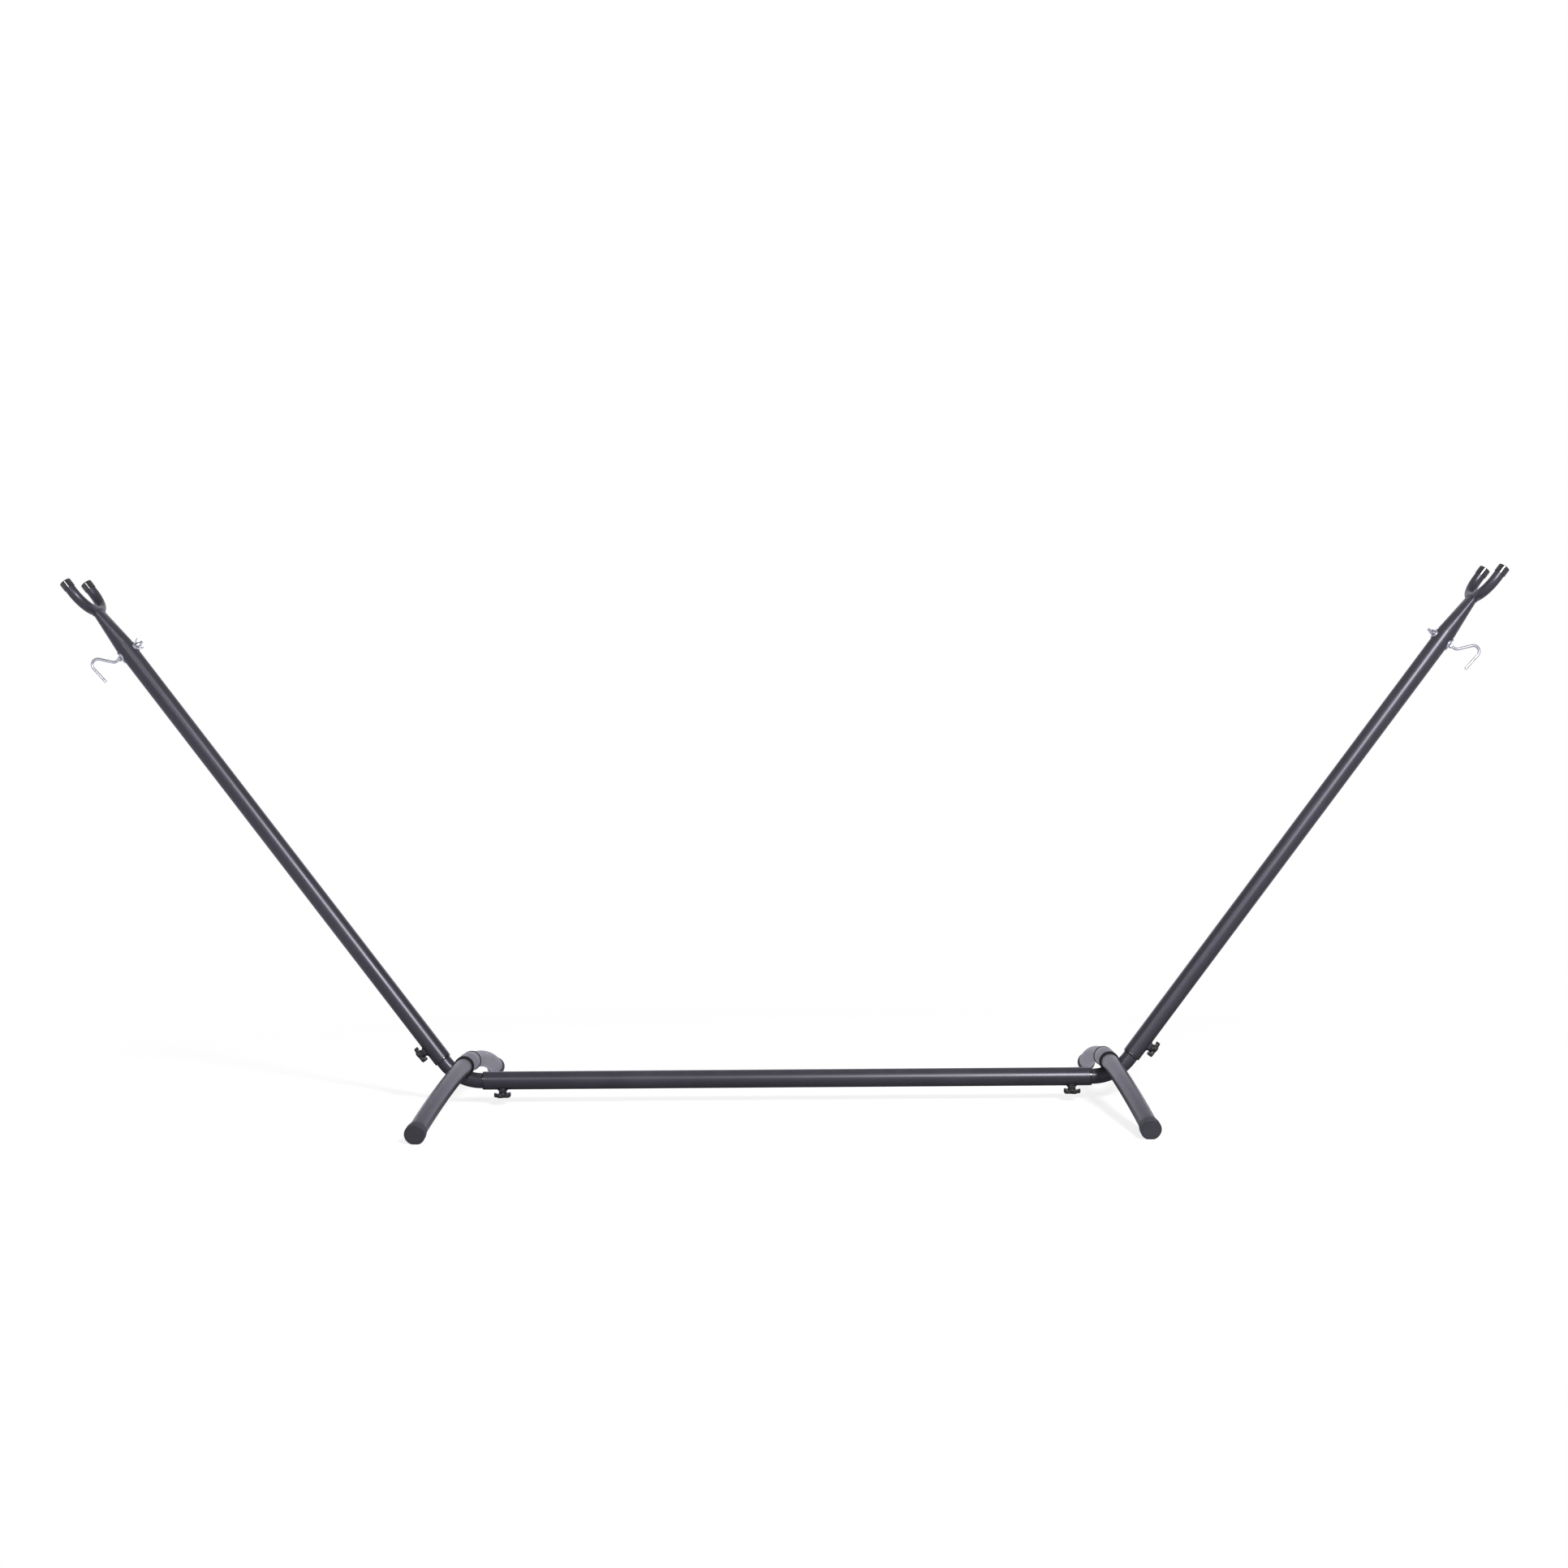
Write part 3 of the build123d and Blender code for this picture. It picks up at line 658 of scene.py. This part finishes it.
finishes = {
    "powder_coat": powder_coat,
    "cap_plastic": cap_plastic,
    "gloss_plastic": gloss_plastic,
    "knob_plastic": knob_plastic,
    "zinc": zinc,
}
for part in frame["record"]["subparts"]:
    node = frame["nodes"][part["node"]]
    node.data.materials.clear()
    is_collar = part["node"].endswith("_collar")
    node.data.materials.append(collar_plastic_with_gap_shade if is_collar else finishes[part["material_slot"]])

# Pieces of each side
for name, side in SIDES.items():
    bolt = upright_point(side, UPRIGHT_LENGTH - HOOK_DROP)
    axis, across = along(side), outward(side)
    depth = np.cross(across, axis)
    hook = make_piece(
        f"{name}_threaded_hook", [surface(placed(hook_grid(), bolt, across, axis, depth))], zinc,
        f"{name}_hook",
    )
    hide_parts(f"{name}_hook")

    nut_local = hex_nut_grid(HOOK_NUT_APOTHEM, HOOK_NUT_HEIGHT, WIRE_RADIUS)
    nut_grid = placed(nut_local, bolt + across * HOOK_NUT_FOOT, axis, depth, across)
    nut = make_piece(f"{name}_chamfered_nut", [surface(nut_grid, looped=True)], zinc, f"{name}_hook")
    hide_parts(f"{name}_hook_nut")

    wing_axis = -across
    wing_first = axis if name == "left" else BACK
    wing_second = np.cross(wing_axis, wing_first)
    foot = bolt + wing_axis * WING_FOOT
    shells = [surface(placed(wing_hub_grid(), foot, wing_first, wing_second, wing_axis), looped=True)]
    for hand in (-1.0, 1.0):
        shells.append(surface(placed(wing_grid(hand), foot, wing_first, wing_second, wing_axis)))
    wing_nut = make_piece(f"{name}_cast_wing_nut", shells, zinc, f"{name}_wing_nut")
    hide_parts(f"{name}_wing_nut")

    bar_end = np.array([side * (BAR_LENGTH / 2 - BAR_KNOB_INSET), 0.0, BAR_HEIGHT - TUBE_RADIUS])
    upright_end = upright_point(side, UPRIGHT_KNOB_INSET) + across * TUBE_RADIUS
    bar_axis = np.array([side, 0.0, 0.0])
    bar_mouth = np.array([side * BAR_LENGTH / 2, 0.0, BAR_HEIGHT])
    for tube, origin, away, first, mouth, exit_axis in (
        ("bar", bar_end, -UP, bar_axis, bar_mouth, bar_axis),
        ("upright", upright_end, across, axis, upright_point(side, 0.0), -axis),
    ):
        body = "base" if tube == "bar" else f"{name}_upright"
        bush_shape = placed(bush_grid(), mouth, BACK, np.cross(exit_axis, BACK), exit_axis)
        bush = make_piece(
            f"{name}_{tube}_rounded_bush", [surface(bush_shape, looped=True)],
            gloss_plastic, body,
        )
        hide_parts(f"{name}_{tube}_bush")
        second = np.cross(away, first)
        stud = make_piece(
            f"{name}_{tube}_threaded_stud", [surface(placed(stud_grid(), origin, first, second, away))],
            zinc, f"{name}_{tube}_stud",
        )
        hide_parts(f"{name}_{tube}_knob_stud")
        knob = make_piece(
            f"{name}_{tube}_star_knob", [surface(placed(knob_grid(), origin, first, second, away))],
            knob_plastic, f"{name}_{tube}_knob",
        )
        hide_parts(f"{name}_{tube}_knob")
        make_piece(
            f"{name}_{tube}_nut_weld", [surface(nut_bead(away, first, origin), looped=True)],
            powder_coat, body,
        )
    top_wall = placed(wall_round_grid(), bar_end + TUBE_RADIUS * UP, RIGHT, BACK, UP)
    make_piece(f"{name}_bar_top_wall", [surface(top_wall)], powder_coat, "base")
    make_piece(
        f"{name}_fork_weld", [surface(fork_bead(side), looped=True)], powder_coat,
        f"{name}_upright",
    )
    make_piece(
        f"{name}_sleeve_weld", [surface(foot_bead(side), looped=True)], powder_coat,
        f"{name}_foot",
    )


# Camera at the photograph's place. The picture is a square of 1932 pixels, and its middle lies a little to the
# left of the camera's axis.
PICTURE = 1932.0
FOCAL_PIXELS = 2641.45
AXIS_PIXEL = 983.72
CAMERA_PLACE = np.array([0.08627, -4.50462, 0.65530])
YAW, PITCH, ROLL = np.radians([-0.7125, 0.1955, 0.5162])
forward = np.array([np.sin(YAW) * np.cos(PITCH), np.cos(YAW) * np.cos(PITCH), np.sin(PITCH)])
level = np.array([np.cos(YAW), -np.sin(YAW), 0.0])
down = np.cross(forward, level)
right = np.cos(ROLL) * level + np.sin(ROLL) * down
below = -np.sin(ROLL) * level + np.cos(ROLL) * down
pose = np.eye(4)
pose[:3, :4] = np.stack([right, -below, -forward, CAMERA_PLACE], -1)
camera = bpy.data.objects.new("camera", bpy.data.cameras.new("camera"))
camera.data.sensor_width = 36.0
camera.data.lens = camera.data.sensor_width * FOCAL_PIXELS / PICTURE
camera.data.shift_x = (PICTURE / 2 - AXIS_PIXEL) / PICTURE
camera.data.clip_end = 60.0
camera.matrix_world = Matrix(pose.tolist())
bpy.context.scene.collection.objects.link(camera)
bpy.context.scene.camera = camera


# Floor, lamps and background
FLOOR_HALF = 30.0
FLOOR_DROP = 0.0003                # under the pads, so that the two don't share a plane
SHADOW_FADE = (1.4, 2.4)           # distances over which the floor goes over into the plain background
# What the floor shows in gloss, left to right over 6 m and front to back over 2 m: places from 0 to 1 and greys
# The floor's gloss is a painted reflection; where both ramps are low, round the bar, it holds a painted shadow
# of the bar
FLOOR_ACROSS = [(0.28, 0.9), (0.38, 0.0), (0.63, 0.0), (0.72, 0.4)]
FLOOR_DEEP = [(0.3, 0.75), (0.5, 0.15), (0.58, 0.15), (0.68, 0.95)]
# What the world shows in gloss, from the back horizon (0) over the stand (0.5) to the front horizon (1)
SKY_SWEEP = [(0.0, 0.9), (0.08, 1.0), (0.19, 0.9), (0.27, 0.15), (0.5, 0.12), (0.75, 0.35), (1.0, 0.5)]
SKY_GLOSS = 1.3
GLOSS_TINT = (0.90, 0.87, 1.0, 1)  # of what the gloss mirrors
AMBIENT = 0.40


def seen_directly(tree, path):
    """1 for rays that show the background itself: from the camera and through glass."""
    return add_node(
        tree, "ShaderNodeMath",
        [(0, path.outputs["Is Camera Ray"]), (1, path.outputs["Is Transmission Ray"])], operation="MAXIMUM",
    ).outputs["Value"]


def floor_material():
    """White paper: it takes a faint shadow near the stand and fades to the plain background further out.
    In gloss it glows as a painted reflection: pale to the front, the back and the left, grey to the right, and
    dark round the bar as a painted shadow of the bar."""
    material = bpy.data.materials.new("paper_floor")
    material.use_nodes = True
    tree = material.node_tree
    tree.nodes.remove(tree.nodes["Principled BSDF"])
    path = add_node(tree, "ShaderNodeLightPath")
    place = add_node(tree, "ShaderNodeTexCoord").outputs["Object"]
    paper = add_node(tree, "ShaderNodeBsdfDiffuse", [("Color", (0.80, 0.80, 0.80, 1))])
    spot = add_node(tree, "ShaderNodeSeparateXYZ", [("Vector", place)])
    shades = []
    for way, half_span, stops in (("X", 3.0, FLOOR_ACROSS), ("Y", 1.0, FLOOR_DEEP)):
        span = add_node(
            tree, "ShaderNodeMapRange",
            [("Value", spot.outputs[way]), ("From Min", -half_span), ("From Max", half_span)],
        )
        ramp = add_node(tree, "ShaderNodeValToRGB", [("Fac", span.outputs["Result"])])
        fill_ramp(ramp.color_ramp, stops)
        shades.append(ramp.outputs["Color"])
    # painted shadow of the bar in the floor's gloss: dark where both ramps are low
    shade = add_node(tree, "ShaderNodeMath", [(0, shades[0]), (1, shades[1])], operation="MAXIMUM")
    painted_floor_reflection = add_node(
        tree, "ShaderNodeEmission", [("Color", GLOSS_TINT), ("Strength", shade.outputs["Value"])]
    ).outputs["Emission"]
    unseen = add_node(
        tree, "ShaderNodeMixShader",
        [("Fac", path.outputs["Is Glossy Ray"]), (1, paper.outputs["BSDF"]), (2, painted_floor_reflection)],
    )
    thin_paper = add_node(tree, "ShaderNodeBsdfDiffuse", [("Color", (0.35, 0.35, 0.35, 1))])
    lift = add_node(tree, "ShaderNodeEmission", [("Strength", 0.74)]).outputs["Emission"]
    lit = add_node(tree, "ShaderNodeAddShader", [(0, thin_paper.outputs["BSDF"]), (1, lift)])
    plain = add_node(tree, "ShaderNodeEmission", [("Strength", 1.0)])
    distance = add_node(tree, "ShaderNodeVectorMath", [(0, place)], operation="LENGTH")
    far = add_node(
        tree, "ShaderNodeMapRange",
        [("Value", distance.outputs["Value"]), ("From Min", SHADOW_FADE[0]), ("From Max", SHADOW_FADE[1])],
        interpolation_type="SMOOTHSTEP",
    )
    seen = add_node(
        tree, "ShaderNodeMixShader",
        [("Fac", far.outputs["Result"]), (1, lit.outputs["Shader"]), (2, plain.outputs["Emission"])],
    )
    blend = add_node(
        tree, "ShaderNodeMixShader",
        [("Fac", seen_directly(tree, path)), (1, unseen.outputs["Shader"]), (2, seen.outputs["Shader"])],
    )
    tree.links.new(blend.outputs["Shader"], tree.nodes["Material Output"].inputs["Surface"])
    return material


floor_mesh = bpy.data.meshes.new("floor")
floor_corners = [(-1, -1, 0), (1, -1, 0), (1, 1, 0), (-1, 1, 0)]
floor_mesh.from_pydata((FLOOR_HALF * np.array(floor_corners)).tolist(), [], [(0, 1, 2, 3)])
floor_mesh.materials.append(floor_material())
floor = bpy.data.objects.new("floor", floor_mesh)
floor.location.z = -FLOOR_DROP
bpy.context.scene.collection.objects.link(floor)

world = bpy.data.worlds.new("studio")
world.use_nodes = True
bpy.context.scene.world = world
sky = world.node_tree
ambient = sky.nodes["Background"]
ambient.inputs["Color"].default_value = (1, 1, 1, 1)
ambient.inputs["Strength"].default_value = AMBIENT
background = add_node(sky, "ShaderNodeBackground", [("Color", (1, 1, 1, 1)), ("Strength", 1.0)])
direction = add_node(
    sky, "ShaderNodeSeparateXYZ", [("Vector", add_node(sky, "ShaderNodeTexCoord").outputs["Generated"])]
)
climb = add_node(
    sky, "ShaderNodeMath", [(0, direction.outputs["Z"]), (1, direction.outputs["Y"])], operation="ARCTAN2"
)
sweep_place = add_node(sky, "ShaderNodeMath", [(0, climb.outputs["Value"]), (1, np.pi)], operation="DIVIDE")
sweep = add_node(sky, "ShaderNodeValToRGB", [("Fac", sweep_place.outputs["Value"])])
fill_ramp(sweep.color_ramp, SKY_SWEEP)
gloss_strength = add_node(
    sky, "ShaderNodeMath", [(0, sweep.outputs["Color"]), (1, SKY_GLOSS)], operation="MULTIPLY"
)
gloss_view = add_node(
    sky, "ShaderNodeBackground", [("Color", GLOSS_TINT), ("Strength", gloss_strength.outputs["Value"])]
).outputs["Background"]
rays = add_node(sky, "ShaderNodeLightPath")
unseen_sky = add_node(
    sky, "ShaderNodeMixShader",
    [("Fac", rays.outputs["Is Glossy Ray"]), (1, ambient.outputs["Background"]), (2, gloss_view)],
).outputs["Shader"]
shown_sky = add_node(
    sky, "ShaderNodeMixShader",
    [("Fac", seen_directly(sky, rays)), (1, unseen_sky), (2, background.outputs["Background"])],
)
sky.links.new(shown_sky.outputs["Shader"], sky.nodes["World Output"].inputs["Surface"])


def softbox(name, place, aim, size, power):
    """A square soft white lamp that faces a point."""
    lamp = bpy.data.lights.new(name, "AREA")
    lamp.size = size
    lamp.energy = power
    box = bpy.data.objects.new(name, lamp)
    box.location = place
    box.rotation_euler = (Vector(aim) - Vector(place)).to_track_quat("-Z", "Y").to_euler()
    bpy.context.scene.collection.objects.link(box)


softbox("right_softbox", (1.3, -4.0, 2.4), (0, 0, 0.4), 0.8, 250.0)
softbox("left_softbox", (-1.75, -4.0, 2.4), (0, 0, 0.4), 0.45, 30.0)
softbox("overhead_softbox", (0.0, 0.3, 3.0), (0, 0, 0), 2.6, 8.0)

bpy.context.scene.view_settings.view_transform = "Standard"
